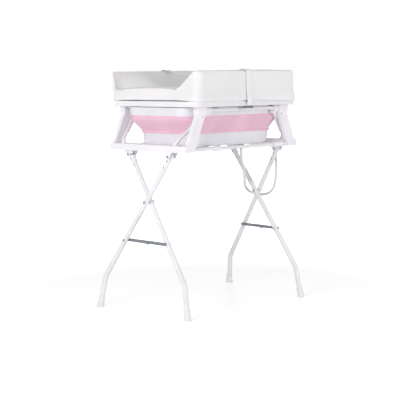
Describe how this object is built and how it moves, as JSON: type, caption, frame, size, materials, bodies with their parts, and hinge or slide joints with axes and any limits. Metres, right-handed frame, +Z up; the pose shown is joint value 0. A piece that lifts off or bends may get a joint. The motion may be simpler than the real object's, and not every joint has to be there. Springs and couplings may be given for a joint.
{
  "type": "folding baby bath stand with changing top",
  "caption": "Folding baby bath on crossed tube legs, with a hinged padded changing top, a belt and a drain hose.",
  "frame": {"origin": "on the floor under the middle of the bath", "axes": "+X along the bath towards the drain and hose end, +Y to the hinge side, +Z up"},
  "size_m": [0.8442, 0.5472, 1.02],
  "materials": {
    "painted_white": "smooth white powder coat on steel tube",
    "moulded_white": "white injection-moulded plastic",
    "cap_white": "white moulded caps, a little softer in gloss",
    "rivet_steel": "pressed steel rivets and pins",
    "stay_grey": "grey painted flat steel",
    "tub_white": "white moulded bath wall",
    "band_pink": "soft pink moulded rubber, satin",
    "drain_grey": "grey moulded plastic",
    "hose_clear": "milky flexible tube",
    "pad_vinyl": "wipe-clean white coated cloth, welded edges",
    "belt_webbing": "white woven webbing",
    "anchor_grey": "dark grey moulded plastic"
  },
  "bodies": {
    "outer_legs": {"outer_leg_left": "painted_white", "outer_leg_right": "painted_white", "outer_feet": "cap_white", "outer_leg_plugs": "cap_white", "outer_leg_rivets": "rivet_steel", "crossing_rivets": "rivet_steel"},
    "inner_legs": {"inner_leg_left": "painted_white", "inner_leg_right": "painted_white", "inner_feet": "cap_white", "inner_leg_saddles": "cap_white", "inner_leg_rivets": "rivet_steel"},
    "left_stay_outer_half": {"leg_stay_left_outer": "stay_grey"},
    "left_stay_inner_half": {"leg_stay_left_inner": "stay_grey"},
    "right_stay_outer_half": {"leg_stay_right_outer": "stay_grey"},
    "right_stay_inner_half": {"leg_stay_right_inner": "stay_grey"},
    "bath_frame": {"end_frame_left": "moulded_white", "end_frame_right": "moulded_white", "post_screws": "rivet_steel", "lower_rails": "painted_white", "upper_rails": "painted_white", "rail_blocks": "moulded_white", "frame_braces": "painted_white", "brace_blocks": "moulded_white", "near_clevises": "moulded_white", "far_clevises": "moulded_white", "head_pins": "rivet_steel", "cradle_left": "moulded_white", "cradle_right": "moulded_white", "drain_cup": "drain_grey", "tub_rim": "tub_white", "tub_band": "band_pink", "drain_hose": "hose_clear", "hose_end_cap": "cap_white", "hose_clip": "moulded_white", "hinge_clamps": "moulded_white"},
    "tub_floor": {"tub_base": "tub_white"},
    "plug": {"drain_plug": "drain_grey"},
    "changing_top": {"top_tray": "moulded_white", "hinge_pins": "rivet_steel", "changing_pad": "pad_vinyl", "belt_near": "belt_webbing", "belt_far": "belt_webbing", "buckle_socket": "moulded_white", "buckle_tongue": "moulded_white", "belt_anchors": "anchor_grey"}
  },
  "joints": [
    {"name": "frame_swing", "type": "hinge", "parent": "outer_legs", "child": "bath_frame", "pos_m": [0, -0.132, 0.668], "axis": [1, 0, 0], "range_deg": [0, 118]},
    {"name": "leg_close", "type": "hinge", "parent": "outer_legs", "child": "inner_legs", "pos_m": [0, 0, 0.47194], "axis": [1, 0, 0], "range_deg": [0, 57.9]},
    {"name": "left_stay_fold", "type": "hinge", "parent": "outer_legs", "child": "left_stay_outer_half", "pos_m": [-0.37131, 0.11374, 0.303], "axis": [1, 0, 0], "range_deg": [0, 110]},
    {"name": "left_stay_knee", "type": "hinge", "parent": "left_stay_outer_half", "child": "left_stay_inner_half", "pos_m": [-0.37131, 0, 0.303], "axis": [1, 0, 0], "range_deg": [-162, 0]},
    {"name": "right_stay_fold", "type": "hinge", "parent": "outer_legs", "child": "right_stay_outer_half", "pos_m": [0.37131, 0.11374, 0.303], "axis": [1, 0, 0], "range_deg": [0, 110]},
    {"name": "right_stay_knee", "type": "hinge", "parent": "right_stay_outer_half", "child": "right_stay_inner_half", "pos_m": [0.37131, 0, 0.303], "axis": [1, 0, 0], "range_deg": [-162, 0]},
    {"name": "top_flip", "type": "hinge", "parent": "bath_frame", "child": "changing_top", "pos_m": [0, 0.254, 0.864], "axis": [-1, 0, 0], "range_deg": [0, 95]},
    {"name": "tub_fold", "type": "slide", "parent": "bath_frame", "child": "tub_floor", "axis": [0, 0, 1], "range_m": [0, 0.055], "deforming": ["tub_band"]},
    {"name": "plug_lift", "type": "slide", "parent": "tub_floor", "child": "plug", "axis": [0, 0, 1], "range_m": [0, 0.03]}
  ],
  "couplings": [
    {"joint": "leg_close", "follows": "frame_swing", "ratio": 0.4898},
    {"joint": "left_stay_fold", "follows": "frame_swing", "ratio": 0.931},
    {"joint": "left_stay_knee", "follows": "frame_swing", "ratio": -1.3722},
    {"joint": "right_stay_fold", "follows": "frame_swing", "ratio": 0.931},
    {"joint": "right_stay_knee", "follows": "frame_swing", "ratio": -1.3722}
  ]
}
